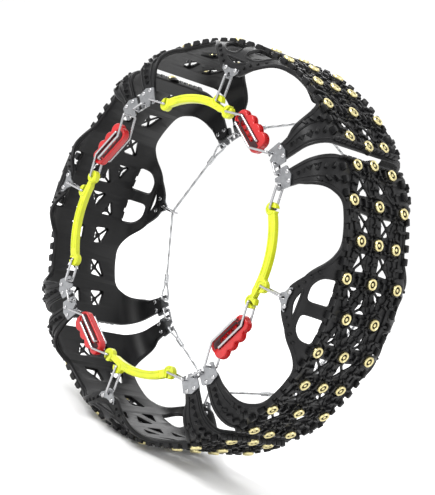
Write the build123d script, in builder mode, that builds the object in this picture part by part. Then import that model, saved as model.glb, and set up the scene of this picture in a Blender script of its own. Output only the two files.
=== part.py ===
"""Snow chain for one passenger-car tyre: four studded net panels, linked into a ring
by steel plates and wire links, and pulled tight on the outer side by four toggle
tensioners. The axle runs along Y, the outer face of the wheel looks along -Y, +Z is up,
and the origin is the wheel's centre. All lengths are in millimetres, angles in degrees.

A place in the side view is given as (r, c): r from the axle, and c clockwise, as seen
from outside, from the middle of the panel. Every piece is drawn on the right-hand panel
and turned about the axle to make the other three."""
from build123d import *
from math import cos, sin, radians, atan2, degrees
import os

os.makedirs("parts", exist_ok=True)

# ---- the tyre that the chain fits ----
tyre_radius = 375.0
tyre_half_width = 124.0
panel_names = ("right", "bottom", "left", "top")
panel_pitch = 360 / len(panel_names)

# ---- net panel ----
net_gap = 1.0
net_thickness = 7.0
net_inner_radius = tyre_radius + net_gap
side_inner = tyre_half_width + 2.0
side_outer = side_inner + net_thickness
shoulder_radius = 40.0
tread_half_width = side_inner - shoulder_radius
panel_half_angle = 43.2
pad_end_radius = 290.0
tip_end_radius = 325.0
rib_width = 15.0
cell_rounding = 2.0
boss_radius = 13.0
boss_top_radius = 389.0
sector_cut_radius = 398.0

# ---- studs ----
row_pitch = 10.2
end_stud_lead = 1.25
stud_stem_radius = 5.0
stud_stem_foot = 379.0
stud_head_radius = 11.0
stud_top_radius = 395.0
stud_bore_radius = 3.6
stud_bore_depth = 4.5
wide_row = 72.0
narrow_row = 50.0
middle_row = 40.0

# ---- steel plates and rivets ----
plate_thickness = 3.0
ring_level = side_outer + plate_thickness / 2
slot_radius = 280.0
seam_slot_angle = 42.55
ring_slot_angle = 38.45
ring_slot_slant = 10.0
slot_width = 6.5
slot_run = 12.0
plate_mouth_radius = 273.0
plate_top_radius = 309.0
plate_near_angle = 36.6
plate_far_angle = 44.3
tip_slot_radius = 319.0
rivet_radius = 2.6
rivet_head_radius = 4.6
rivet_head_height = 2.4
rivet_tail_height = 1.6
end_rivets = ((301.0, 38.6), (301.0, 42.0))
tip_rivets = ((331.0, 2.3), (331.0, -2.3))

# ---- wire links and the tensioner ----
wire_radius = 2.25
wire_bend = 3.2
wire_butt_gap = 0.6
link_half_width = 8.75
front_bail_half_width = 10.25
rear_bail_half_width = 15.5
start_pin = (258.0, -30.3)
side_pin = (267.0, 0.0)
end_pin = (258.0, 7.5)
lever_tilt = 15.0
lever_pin_reach = 31.0
lever_pin_offset = 8.0
lever_kink_reach = 34.0
lever_thickness = 15.0
lever_length = 94.0
lever_channel_width = 29.0
lever_handle_lobes = ((-35.0, 7.0, 11.5), (-15.0, 13.0, 12.0), (8.0, 13.5, 12.5), (31.0, 12.0, 15.0))
lever_channel_depth = 1.5
connector_thickness = 12.0
connector_width = 16.0
hook_radius = 12.5
pin_clearance = 0.35
connector_edge = 2.0
corner_rounding = 4.0
lever_edge = 2.5
lever_slot_length = 50.0
lever_slot_width = 9.0
lever_tooth_thickness = 6.0

# ---- inner side ----
cable_radius = 2.5
cable_bend_radius = 290.0
cable_bend_round = 20.0
eye_length = 34.0
ferrule_radius = 5.0
ferrule_length = 20.0


def polar(r, c):
    """Side-view point, in the plane's own two axes, of a place (r, c)."""
    return Vector(r * cos(radians(c)), -r * sin(radians(c)))


def spot(r, c, y):
    """Space point of a place (r, c) at the distance y along the axle."""
    return Vector(r * cos(radians(c)), y, -r * sin(radians(c)))


def side_plane(y):
    """Side-view plane at y along the axle; its normal looks along -Y."""
    return Plane.XZ.offset(-y)


def radial_plane(r, c, y):
    """Plane that faces outward from the axle: x along the axle, y round the tyre."""
    outward = Vector(cos(radians(c)), 0, -sin(radians(c)))
    return Plane(origin=spot(r, c, y), x_dir=(0, 1, 0), z_dir=outward)


def stud_places():
    """(c, y) of each of a panel's studs: alternate rows of wide, narrow and middle spacing."""
    places = []
    for row in range(-4, 5):
        if row == 0:
            offsets = (-middle_row, middle_row)
        elif row % 2:
            offsets = (-wide_row, 0, wide_row)
        else:
            offsets = (-narrow_row, 0, narrow_row)
        for offset in offsets:
            lead = end_stud_lead if abs(row) == 4 and offset == 0 else 0
            places.append((row * row_pitch + (lead if row > 0 else -lead), offset))
    return places


def net_cells():
    """Corners (row, y) of each opening between neighbouring studs of the net."""
    cells = []
    for way in (-1, 1):
        cells.append([(0, -middle_row), (0, middle_row), (way, 0)])
        for side in (-1, 1):
            wide = side * wide_row
            narrow = side * narrow_row
            cells.append([(0, side * middle_row), (way, 0), (way, wide)])
            cells.append([(way, 0), (way, wide), (way * 2, narrow), (way * 2, 0)])
            cells.append([(way * 2, 0), (way * 2, narrow), (way * 3, wide), (way * 3, 0)])
            cells.append([(way * 3, 0), (way * 3, wide), (way * 4, narrow), (way * 4, 0)])
            cells.append([(way, wide), (way * 2, narrow), (way * 3, wide)])
    for side in (-1, 1):
        cells.append([(0, side * middle_row), (1, side * wide_row), (-1, side * wide_row)])
    return cells


def save(piece, name, turn):
    """Turn a finished piece to its panel, label it and write it."""
    placed = piece.rotate(Axis.Y, panel_pitch * turn)
    placed.label = f"{name}_{panel_names[turn]}"
    export_step(placed, f"parts/{placed.label}.step")


def save_all(piece, name):
    for turn in range(len(panel_names)):
        save(piece, name, turn)


# ---------------------------------------------------------------- net panel
def side_outline():
    """What is missing from the side wall: two bays, and the space under the middle arm."""
    half = ((285, 36.2), (312, 36.2), (350, 33.6), (sector_cut_radius, 30.0),
            (sector_cut_radius, 13.5), (352, 8.6), (tip_end_radius, 3.6))
    outline = [polar(r, c) for r, c in half]
    outline += [polar(r, -c) for r, c in reversed(half)]
    return outline


def middle_arm_openings():
    """The middle arm's openings: a triangle near its tip, and a pair beside its centre bar."""
    triangle = [(350, 5.0), (350, -5.0), (341, 0.0)]
    right_half = [(357, 1.6), (357, 6.2), (sector_cut_radius, 10.6), (sector_cut_radius, 1.6)]
    left_half = [(r, -c) for r, c in right_half]
    return [triangle, right_half, left_half]


with BuildPart() as net_panel:
    with BuildSketch(Plane.XY.rotated((0, -panel_half_angle, 0))):
        with BuildLine():
            inner_side = shoulder_radius
            outer_side = shoulder_radius + net_thickness
            knee = net_inner_radius - shoulder_radius
            rim = net_inner_radius + net_thickness
            upper = [
                Line((net_inner_radius, 0), (net_inner_radius, tread_half_width)),
                RadiusArc((net_inner_radius, tread_half_width), (knee, side_inner), -inner_side),
                Line((knee, side_inner), (pad_end_radius, side_inner)),
                Line((pad_end_radius, side_inner), (pad_end_radius, side_outer)),
                Line((pad_end_radius, side_outer), (knee, side_outer)),
                RadiusArc((knee, side_outer), (rim, tread_half_width), outer_side),
                Line((rim, tread_half_width), (rim, 0)),
            ]
            mirror(upper, about=Plane.XZ)
        make_face()
    revolve(axis=Axis.Y, revolution_arc=2 * panel_half_angle)
    for side in (-1, 1):
        start = side * (tread_half_width + 3)
        with BuildSketch(side_plane(start)) as bays:
            with BuildLine():
                Polyline(*side_outline(), close=True)
            make_face()
            fillet(bays.vertices(), 5)
        extrude(amount=-side * 60, mode=Mode.SUBTRACT)
        with BuildSketch(side_plane(start)) as arm_openings:
            for corners in middle_arm_openings():
                with BuildLine():
                    Polyline(*[polar(r, c) for r, c in corners], close=True)
                make_face()
            fillet(arm_openings.vertices(), 3)
        extrude(amount=-side * 60, mode=Mode.SUBTRACT)
    for cell in net_cells():
        middle_angle = sum(row for row, _ in cell) / len(cell) * row_pitch
        middle_y = sum(y for _, y in cell) / len(cell)
        face_plane = radial_plane(net_inner_radius, middle_angle, middle_y)
        with BuildSketch(face_plane):
            with BuildLine():
                corners = []
                for row, y in cell:
                    corner = face_plane.to_local_coords(spot(net_inner_radius, row * row_pitch, y))
                    corners.append((corner.X, corner.Y))
                Polyline(*corners, close=True)
            make_face()
            offset(amount=-rib_width / 2 - cell_rounding, mode=Mode.REPLACE)
            offset(amount=cell_rounding, mode=Mode.REPLACE)
        extrude(amount=24, both=True, mode=Mode.SUBTRACT)
    with BuildSketch(*[radial_plane(net_inner_radius + 3, c, y) for c, y in stud_places()]):
        Circle(boss_radius)
    extrude(amount=boss_top_radius - net_inner_radius - 3)
    with BuildSketch(*[radial_plane(stud_stem_foot, c, y) for c, y in stud_places()]):
        Circle(stud_stem_radius)
    extrude(amount=boss_top_radius - stud_stem_foot, mode=Mode.SUBTRACT)
    rivet_spots = [polar(r, c) for r, c in end_rivets]
    rivet_spots += [polar(r, -c) for r, c in end_rivets]
    rivet_spots += [polar(r, c) for r, c in tip_rivets]
    with BuildSketch(side_plane(0)):
        with Locations(*rivet_spots):
            Circle(rivet_radius)
    extrude(amount=side_outer + 10, both=True, mode=Mode.SUBTRACT)
save_all(net_panel.part, "net_panel")

# ---------------------------------------------------------------- studs
with BuildPart() as stud_set:
    with BuildSketch(*[radial_plane(stud_stem_foot, c, y) for c, y in stud_places()]):
        Circle(stud_stem_radius)
    extrude(amount=boss_top_radius - stud_stem_foot)
    with BuildSketch(*[radial_plane(boss_top_radius, c, y) for c, y in stud_places()]):
        Circle(stud_head_radius)
    extrude(amount=stud_top_radius - boss_top_radius, taper=12)
    with BuildSketch(*[radial_plane(stud_top_radius, c, y) for c, y in stud_places()]):
        Circle(stud_bore_radius)
    extrude(amount=-stud_bore_depth, mode=Mode.SUBTRACT)
save_all(stud_set.part, "stud_set")

# ---------------------------------------------------------------- plates and rivets
def end_plate_face(sign, y):
    """One end plate on its side-view plane: two slots open toward the axle, two rivet holes."""
    near = sign * plate_near_angle
    far = sign * plate_far_angle
    ridge = sign * (plate_near_angle + plate_far_angle) / 2
    with BuildSketch(side_plane(y)) as outline:
        with BuildLine():
            Polyline(
                polar(plate_mouth_radius, near),
                polar(plate_mouth_radius - 2, ridge),
                polar(plate_mouth_radius, far),
                polar(plate_top_radius - 6, far),
                polar(plate_top_radius, ridge),
                polar(plate_top_radius - 6, near),
                close=True,
            )
        make_face()
        fillet(outline.vertices(), 2.5)
        for pin_angle, direction in ((ring_slot_angle, ring_slot_slant), (seam_slot_angle, 45.0)):
            pin = polar(slot_radius, sign * pin_angle)
            with Locations(Location((pin.X, pin.Y, 0), (0, 0, -sign * direction))):
                SlotCenterPoint((-slot_run, 0), (0, 0), slot_width, mode=Mode.SUBTRACT)
        with Locations(*[polar(r, sign * c) for r, c in end_rivets]):
            Circle(rivet_radius, mode=Mode.SUBTRACT)
    return outline.sketch


def tip_plate_face(y):
    """The V-shaped plate at the middle arm's tip, with a closed eye for its link."""
    flank = ((312.0, 1.0), (321.0, 2.0), (327.0, 3.6), (336.0, 4.0))
    with BuildSketch(side_plane(y)) as outline:
        with BuildLine():
            Polyline(
                *[polar(r, c) for r, c in flank],
                polar(332, 0),
                *[polar(r, -c) for r, c in reversed(flank)],
                close=True,
            )
        make_face()
        fillet(outline.vertices(), 1.5)
        with Locations((tip_slot_radius + 1, 0)):
            SlotOverall(slot_width + 3, slot_width - 0.5, mode=Mode.SUBTRACT)
        with Locations(*[polar(r, c) for r, c in tip_rivets]):
            Circle(rivet_radius, mode=Mode.SUBTRACT)
    return outline.sketch


end_faces = [
    (side, end_plate_face(sign, side * side_outer)) for side in (-1, 1) for sign in (-1, 1)
]
tip_faces = [(side, tip_plate_face(side * side_outer)) for side in (-1, 1)]
with BuildPart() as end_plates:
    for side, face in end_faces:
        extrude(face, amount=-side * plate_thickness)
save_all(end_plates.part, "end_plates")

with BuildPart() as tip_plates:
    for side, face in tip_faces:
        extrude(face, amount=-side * plate_thickness)
save_all(tip_plates.part, "tip_plates")

with BuildPart() as plate_rivets:
    for side in (-1, 1):
        for level, radius, height in (
            (side_inner - rivet_tail_height, rivet_head_radius, rivet_tail_height),
            (side_inner, rivet_radius, net_thickness + plate_thickness),
            (side_outer + plate_thickness, rivet_head_radius, rivet_head_height),
        ):
            with BuildSketch(side_plane(side * level)):
                with Locations(*rivet_spots):
                    Circle(radius)
            extrude(amount=-side * height)
save_all(plate_rivets.part, "plate_rivets")


# ---------------------------------------------------------------- wire links
def level(point, y):
    """Space point over a side-view point, y along the axle."""
    return Vector(point.X, y, point.Y)


def wire_loop(stops, half_width, middle):
    """Bent wire loop through side-view stops, its two legs half_width either side of the
    middle level, and its butt joint in the inner leg between the first two stops."""
    outer = middle - half_width
    inner = middle + half_width
    joint = (stops[0] + stops[1]) / 2
    along = (stops[0] - stops[1]).normalized() * (wire_butt_gap / 2)
    corners = [level(stop, outer) for stop in stops]
    corners += [level(stop, inner) for stop in reversed(stops)]
    route = [level(joint + along, inner), corners[-1], *corners[:-1], level(joint - along, inner)]
    with BuildPart() as loop:
        with BuildLine() as path:
            FilletPolyline(*route, radius=wire_bend)
        with BuildSketch(Plane(origin=path.line @ 0, z_dir=path.line % 0)):
            Circle(wire_radius)
        sweep(path=path.line)
    return loop.part


seam_stops = [polar(slot_radius, seam_slot_angle), polar(slot_radius, 90 - seam_slot_angle)]
start_stops = [polar(slot_radius, -ring_slot_angle), polar(*start_pin)]
tip_stops = [polar(tip_slot_radius, 0), polar(*side_pin)]
cable_rise = polar(cable_bend_radius, 0) - polar(slot_radius, ring_slot_angle)
cable_half_turn = atan2(cable_rise.X, cable_rise.Y)
cable_apex = cable_bend_radius - cable_bend_round * (1 / cos(cable_half_turn) - 1)
cable_rest = cable_apex - cable_radius - wire_radius - 0.05
cable_stops = [polar(tip_slot_radius, 0), polar(cable_rest, 0)]
save_all(wire_loop(seam_stops, link_half_width, -ring_level), "seam_link")
save_all(wire_loop(seam_stops, link_half_width, ring_level), "inner_seam_link")
save_all(wire_loop(start_stops, link_half_width, -ring_level), "start_link")
save_all(wire_loop(tip_stops, link_half_width, -ring_level), "tip_link")
save_all(wire_loop(cable_stops, link_half_width, ring_level), "inner_tip_link")

# ---------------------------------------------------------------- side connector
connector_face = side_plane(-ring_level + connector_thickness / 2)
with BuildLine(Plane.XY) as spine:
    ThreePointArc(polar(259, -27), polar(262, -13), polar(258, 3))
with BuildPart() as side_connector:
    with BuildSketch(connector_face):
        SlotArc(spine.wire(), connector_width)
        with Locations(polar(*start_pin), polar(*end_pin), polar(*side_pin)):
            Circle(hook_radius)
        offset(amount=corner_rounding, mode=Mode.REPLACE)
        offset(amount=-corner_rounding, mode=Mode.REPLACE)
    extrude(amount=connector_thickness)
    fillet(side_connector.faces().filter_by(Axis.Y).edges(), connector_edge)
    with BuildSketch(connector_face):
        for pin, mouth_turn in ((start_pin, 12), (end_pin, -25), (side_pin, -100)):
            centre = polar(*pin)
            with Locations(Location((centre.X, centre.Y, 0), (0, 0, mouth_turn))):
                Circle(wire_radius + pin_clearance)
                SlotCenterPoint((slot_run, 0), (0, 0), 2 * (wire_radius + pin_clearance))
    extrude(amount=connector_thickness, mode=Mode.SUBTRACT)
save_all(side_connector.part, "side_connector")

# ---------------------------------------------------------------- toggle tensioner
toggle_start = polar(*end_pin)
toggle_end = polar(slot_radius, ring_slot_angle)
toggle_middle = (toggle_start + toggle_end) / 2
toggle_along = (toggle_end - toggle_start).normalized()
lever_along = toggle_along.rotate(Axis.Z, -lever_tilt)
lever_across = lever_along.rotate(Axis.Z, 90)


def lever_point(along, across):
    """Side-view point in the lever's own axes: along it, and across it away from the axle."""
    return toggle_middle + lever_along * along + lever_across * across


far_pin = lever_point(lever_pin_reach, lever_pin_offset)
near_pin = lever_point(-lever_pin_reach, -lever_pin_offset)
front_kink = lever_point(-lever_kink_reach, lever_pin_offset)
rear_kink = lever_point(lever_kink_reach, -lever_pin_offset)

bail_stops = [far_pin, front_kink, toggle_start]
hook_stops = [near_pin, rear_kink, toggle_end]
save_all(wire_loop(bail_stops, front_bail_half_width, -ring_level), "tensioner_bail")
save_all(wire_loop(hook_stops, rear_bail_half_width, -ring_level), "tensioner_hook")

lever_face = side_plane(-ring_level + lever_thickness / 2)
lever_turn = degrees(atan2(lever_along.Y, lever_along.X))
lever_place = Location((toggle_middle.X, toggle_middle.Y, 0), (0, 0, lever_turn))
with BuildPart() as tensioner_lever:
    with BuildSketch(lever_face):
        with Locations(lever_place):
            SlotCenterToCenter(lever_length - lever_channel_width, lever_channel_width)
            for along, across, radius in lever_handle_lobes:
                with Locations((along, across)):
                    Circle(radius)
        offset(amount=corner_rounding, mode=Mode.REPLACE)
        offset(amount=-corner_rounding, mode=Mode.REPLACE)
    extrude(amount=lever_thickness)
    fillet(tensioner_lever.faces().filter_by(Axis.Y).edges(), lever_edge)
    with BuildSketch(lever_face):
        with Locations(lever_place):
            with Locations((-2, 0)):
                SlotOverall(lever_slot_length, lever_slot_width)
            with Locations(
                (lever_pin_reach, lever_pin_offset), (-lever_pin_reach, -lever_pin_offset)
            ):
                Circle(wire_radius + pin_clearance)
    extrude(amount=lever_thickness, mode=Mode.SUBTRACT)
    for side in (-1, 1):
        with BuildSketch(side_plane(-ring_level + side * lever_thickness / 2)):
            with Locations(lever_place):
                SlotOverall(lever_length - 8, lever_channel_width - 6)
        extrude(amount=side * lever_channel_depth, mode=Mode.SUBTRACT)
    with BuildSketch(side_plane(-ring_level + lever_tooth_thickness / 2)):
        with Locations(lever_place):
            with Locations(*[(place, 0) for place in (-16, -2, 12)]):
                Trapezoid(9, lever_slot_width, 74)
    extrude(amount=lever_tooth_thickness)
save_all(tensioner_lever.part, "tensioner_lever")

# ---------------------------------------------------------------- inner cable
cable_end = polar(slot_radius, ring_slot_angle)
cable_bend = polar(cable_bend_radius, 0)
cable_along = (cable_bend - cable_end).normalized()
eye_throat = cable_end + cable_along * eye_length
ferrule_end = eye_throat + cable_along * ferrule_length


def mirrored(point):
    """The same side-view point on the panel's other half."""
    return Vector(point.X, -point.Y)


def cable_eye(flip):
    """The eye at one end of the cable, with both strands held in its ferrule."""
    tip, throat, end = [flip(point) for point in (cable_end, eye_throat, ferrule_end)]
    shoulder = tip + (throat - tip) * 0.4
    strand = wire_radius + 0.1
    grip = throat + (end - throat) * 0.4
    half = [(grip, strand), (throat, strand), (shoulder, link_half_width), (tip, link_half_width)]
    route = [level(point, ring_level + width) for point, width in half]
    route += [level(point, ring_level - width) for point, width in reversed(half)]
    with BuildPart() as eye:
        with BuildLine() as path:
            FilletPolyline(*route, radius=wire_bend)
        with BuildSketch(Plane(origin=path.line @ 0, z_dir=path.line % 0)):
            Circle(wire_radius)
        sweep(path=path.line)
        with BuildSketch(Plane(origin=level(throat, ring_level), z_dir=level(end - throat, 0))):
            Circle(ferrule_radius)
        extrude(amount=ferrule_length)
    return eye.part


cable_eyes = [cable_eye(Vector), cable_eye(mirrored)]
with BuildPart() as inner_cable:
    cable_route = [ferrule_end - cable_along * 5, cable_bend, mirrored(ferrule_end - cable_along * 5)]
    with BuildLine() as cable_path:
        FilletPolyline(*[level(point, ring_level) for point in cable_route], radius=cable_bend_round)
    with BuildSketch(Plane(origin=cable_path.line @ 0, z_dir=cable_path.line % 0)):
        Circle(cable_radius)
    sweep(path=cable_path.line)
    add(cable_eyes)
save_all(inner_cable.part, "inner_cable")
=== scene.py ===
"""Looks for a studded net snow chain: four moulded net panels with metal studs, joined by
steel plates and wire links, and pulled tight by yellow connectors and red toggle levers."""
import bpy
import bmesh
import numpy as np
from math import atan2, cos, degrees, hypot, pi, radians, sin
from mathutils import Matrix, Vector
from bpy.props import FloatProperty, FloatVectorProperty, IntProperty, PointerProperty


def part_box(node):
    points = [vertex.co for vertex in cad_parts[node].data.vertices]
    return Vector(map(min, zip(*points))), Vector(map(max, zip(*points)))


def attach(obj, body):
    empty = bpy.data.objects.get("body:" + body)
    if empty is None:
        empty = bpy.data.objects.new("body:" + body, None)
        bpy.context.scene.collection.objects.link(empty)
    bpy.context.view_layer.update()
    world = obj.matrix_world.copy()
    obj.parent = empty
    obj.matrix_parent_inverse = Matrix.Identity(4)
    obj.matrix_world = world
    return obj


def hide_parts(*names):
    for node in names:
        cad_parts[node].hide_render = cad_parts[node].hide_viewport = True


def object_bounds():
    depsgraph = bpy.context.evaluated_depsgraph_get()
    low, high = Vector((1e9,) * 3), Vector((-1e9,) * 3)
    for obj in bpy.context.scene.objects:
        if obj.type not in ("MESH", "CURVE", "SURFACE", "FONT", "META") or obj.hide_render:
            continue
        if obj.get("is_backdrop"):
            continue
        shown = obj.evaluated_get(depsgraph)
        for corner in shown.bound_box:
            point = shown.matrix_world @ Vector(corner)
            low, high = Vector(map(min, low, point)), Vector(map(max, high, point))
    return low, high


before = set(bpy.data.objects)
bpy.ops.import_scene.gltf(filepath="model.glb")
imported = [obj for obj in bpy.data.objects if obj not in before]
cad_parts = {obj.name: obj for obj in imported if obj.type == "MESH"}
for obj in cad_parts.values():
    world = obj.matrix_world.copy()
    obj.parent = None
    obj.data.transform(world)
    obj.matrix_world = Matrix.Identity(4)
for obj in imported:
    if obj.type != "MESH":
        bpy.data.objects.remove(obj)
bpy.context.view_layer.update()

bl_info = {
    "name": "Snow Chain Pieces",
    "version": (1, 0, 0),
    "blender": (4, 5, 0),
    "location": "View3D > Sidebar > Snow Chain",
    "description": "Builds the net panels, studs, tensioners and links of a net snow chain",
    "category": "Object",
}

PANELS = ("right", "bottom", "left", "top")
PANEL_TURN = radians(90)

UNIT = (1.0, 1.0, 1.0)
SIDES = (-1, 1)

# The net's own sheet: x runs across the tread, y round the tyre and z up from its inner face.
net_low, net_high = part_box("net_panel_right")
stud_low, stud_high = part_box("stud_set_right")
NET_SIDE = net_high[1]
BOSS_TOP = net_high[0]
STUD_TOP = stud_high[0]
NET_THICKNESS = 0.007
SIDE_INNER = NET_SIDE - NET_THICKNESS
SHOULDER = 0.040
FLAT_HALF = SIDE_INNER - SHOULDER
NET_INNER = BOSS_TOP - 0.013
SHOULDER_RUN = SHOULDER * pi / 2
SHEET_SCALE = NET_INNER + NET_THICKNESS / 2
HALF_ANGLE = radians(43.2)
ROW_PITCH = radians(10.2)
END_LEAD = radians(1.25)
WIDE_ROW = 0.072
NARROW_ROW = 0.050
MIDDLE_ROW = 0.040
LONG_RIB = 0.055
SHOULDER_TOP = 0.376
ARM_TOP = 0.3759
ARM_START = radians(33)
MIDDLE_ARM = radians(15)
TIP_KNOBS = ((0.333, 3.2), (0.341, 4.9), (0.349, 6.6), (0.357, 8.4), (0.365, 10.2))
LIP_EASE = 6

# The side hardware, in the side view: radius from the axle and angle from the panel's middle.
PLATE = 0.003
RING_LEVEL = NET_SIDE + PLATE / 2
RIVETS = ((0.301, 38.6), (0.301, 42.0), (0.301, -38.6), (0.301, -42.0), (0.331, 2.3), (0.331, -2.3))
START_PIN = (0.258, -30.3)
SIDE_PIN = (0.267, 0.0)
END_PIN = (0.258, 7.5)
RING_SLOT = (0.280, 38.45)
CONNECTOR_HALF = 0.006
HOOK_RING = 0.0092
LEVER_HALF = 0.0075
LEVER_TILT = radians(15)
LEVER_LOBES = ((-0.035, 0.007, 0.0115), (-0.015, 0.013, 0.012), (0.008, 0.0135, 0.0125),
               (0.031, 0.012, 0.015))
CABLE_BEND = (0.290, 0.0)
CABLE_ROUND = 0.020
EYE_LENGTH = 0.034
FERRULE_LENGTH = 0.020
EYE_HALF = 0.00875
STRAND_OFF = 0.00235
EYE_STRAND = 0.00084
EYE_LAY = (0.0014, 0.012)
CABLE_LAY = (0.0016, 0.018)
CRIMP_PITCH = 0.0052


# ---------------------------------------------------------------- sheet and wrap
def sheet_x(r):
    """Distance across the sheet, from the tread's middle, of a side-wall place at radius r."""
    knee = NET_INNER - SHOULDER
    if r <= knee:
        return FLAT_HALF + SHOULDER_RUN + knee - r
    lift = min((r - knee) / SHOULDER, 1.0)
    return FLAT_HALF + SHOULDER * (pi / 2 - np.arcsin(lift))


def sheet_point(r, c):
    """Sheet place of a side-view place: radius in metres and angle in degrees."""
    return (sheet_x(r), radians(c) * SHEET_SCALE)


def wrap(points):
    """Lays sheet points round the tyre's tread, shoulders and side walls."""
    across, along, height = points[:, 0], points[:, 1], points[:, 2]
    run = np.abs(across)
    bend = np.clip((run - FLAT_HALF) / SHOULDER, 0, pi / 2)
    rest = np.maximum(run - FLAT_HALF - SHOULDER_RUN, 0)
    lateral = np.minimum(run, FLAT_HALF) + (SHOULDER + height) * np.sin(bend)
    radius = NET_INNER - SHOULDER + (SHOULDER + height) * np.cos(bend) - rest
    angle = along / SHEET_SCALE
    return np.column_stack([
        radius * np.cos(angle), -np.sign(across) * lateral, -radius * np.sin(angle),
    ])


def turned(points, index):
    """Points of the right-hand panel, turned about the axle to another panel's place."""
    turn = PANEL_TURN * index
    x, y, z = points.T
    return np.column_stack([
        x * cos(turn) + z * sin(turn), y, -x * sin(turn) + z * cos(turn),
    ])


def mesh_points(mesh):
    points = np.empty(len(mesh.vertices) * 3)
    mesh.vertices.foreach_get("co", points)
    return points.reshape(-1, 3)


def set_points(mesh, points):
    mesh.vertices.foreach_set("co", np.ascontiguousarray(points).ravel())
    mesh.update()


# ---------------------------------------------------------------- objects
def link(name, data):
    piece = bpy.data.objects.new(name, data)
    bpy.context.scene.collection.objects.link(piece)
    return piece


def discard(*pieces):
    for piece in pieces:
        bpy.data.objects.remove(piece)


def plain_mesh(piece):
    """The evaluated piece as a plain mesh of its own."""
    graph = bpy.context.evaluated_depsgraph_get()
    graph.update()
    return bpy.data.meshes.new_from_object(piece.evaluated_get(graph))


def smooth(mesh, angle=35):
    """Smooth shading with the sharp edges kept."""
    mesh.polygons.foreach_set("use_smooth", [True] * len(mesh.polygons))
    mesh.set_sharp_from_angle(angle=radians(angle))


def opened(mesh):
    work = bmesh.new()
    work.from_mesh(mesh)
    return work


def written(work, mesh):
    """Puts edited shapes into a mesh, or into a new one of the given name."""
    if isinstance(mesh, str):
        mesh = bpy.data.meshes.new(mesh)
    work.to_mesh(mesh)
    work.free()
    return mesh


def outward(mesh):
    """Turns a closed mesh's faces outward if they all point inward."""
    if signed_volume(mesh) < 0:
        mesh.flip_normals()
    return mesh


def signed_volume(mesh):
    """Volume inside a closed mesh; negative when its faces point inward."""
    mesh.calc_loop_triangles()
    corners = np.empty(len(mesh.loop_triangles) * 3, dtype=np.int32)
    mesh.loop_triangles.foreach_get("vertices", corners)
    a, b, c = (mesh_points(mesh)[corners.reshape(-1, 3)[:, i]] for i in range(3))
    return float(np.einsum("ij,ij->i", a, np.cross(b, c)).sum() / 6)


def joined(name, meshes, material):
    """One mesh from several, which are used up."""
    work = bmesh.new()
    for mesh in meshes:
        work.from_mesh(mesh)
        bpy.data.meshes.remove(mesh)
    for face in work.faces:
        face.material_index = 0
    result = written(work, name)
    result.materials.append(material)
    return result


def lathe(name, profile, steps, closed=False):
    """Solid turned about z from (radius, height) points; closed joins the last to the first."""
    work = bmesh.new()
    rings = []
    for radius, height in profile:
        turns = [2 * pi * i / steps for i in range(steps if radius > 1e-6 else 1)]
        rings.append([work.verts.new((radius * cos(a), radius * sin(a), height)) for a in turns])
    pairs = list(zip(rings, rings[1:]))
    if closed:
        pairs.append((rings[-1], rings[0]))
    for low, high in pairs:
        for i in range(steps):
            j = (i + 1) % steps
            corners = []
            for corner in (low[i % len(low)], low[j % len(low)],
                           high[j % len(high)], high[i % len(high)]):
                if corner not in corners:
                    corners.append(corner)
            if len(corners) > 2:
                work.faces.new(corners)
    bmesh.ops.recalc_face_normals(work, faces=work.faces)
    return written(work, name)


def block(name, length, width, height, taper, edge):
    """Moulded block on z = 0: longer along x, narrower at its top, its edges rounded."""
    work = bmesh.new()
    square = ((-1, -1), (1, -1), (1, 1), (-1, 1))
    low, high = ([work.verts.new((x * length / 2 * scale, y * width / 2 * scale, z))
                  for x, y in square] for z, scale in ((0, 1.0), (height, 1.0 - taper)))
    work.faces.new(low[::-1])
    work.faces.new(high)
    for i, j in ((0, 1), (1, 2), (2, 3), (3, 0)):
        work.faces.new((low[i], low[j], high[j], high[i]))
    top = [e for e in work.edges if max(v.co.z for v in e.verts) > height / 2]
    bmesh.ops.bevel(work, geom=top, offset=edge, segments=1, affect="EDGES")
    return written(work, name)


# ---------------------------------------------------------------- geometry nodes
def new_tree(name, sockets):
    """Empty modifier tree with named inputs: (name, socket type, default)."""
    tree = bpy.data.node_groups.new(name, "GeometryNodeTree")
    tree.interface.new_socket("Geometry", in_out="INPUT", socket_type="NodeSocketGeometry")
    for label, kind, default in sockets:
        socket = tree.interface.new_socket(label, in_out="INPUT", socket_type=kind)
        if default is not None:
            socket.default_value = default
    tree.interface.new_socket("Geometry", in_out="OUTPUT", socket_type="NodeSocketGeometry")
    return tree, tree.nodes.new("NodeGroupInput"), tree.nodes.new("NodeGroupOutput")


def named_value(tree, name, kind):
    node = tree.nodes.new("GeometryNodeInputNamedAttribute")
    node.data_type = kind
    node.inputs["Name"].default_value = name
    return node.outputs["Attribute"]


def wired(tree, *pairs):
    """Links each pair of an output and an input."""
    for source, target in pairs:
        tree.links.new(source, target)


def finish_tree(tree, given, shape, result):
    """Ends a tree in Realize Instances and Set Material."""
    real = tree.nodes.new("GeometryNodeRealizeInstances")
    finished = tree.nodes.new("GeometryNodeSetMaterial")
    wired(
        tree,
        (shape, real.inputs["Geometry"]),
        (real.outputs["Geometry"], finished.inputs["Geometry"]),
        (given.outputs["Material"], finished.inputs["Material"]),
        (finished.outputs["Geometry"], result.inputs["Geometry"]),
    )


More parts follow.
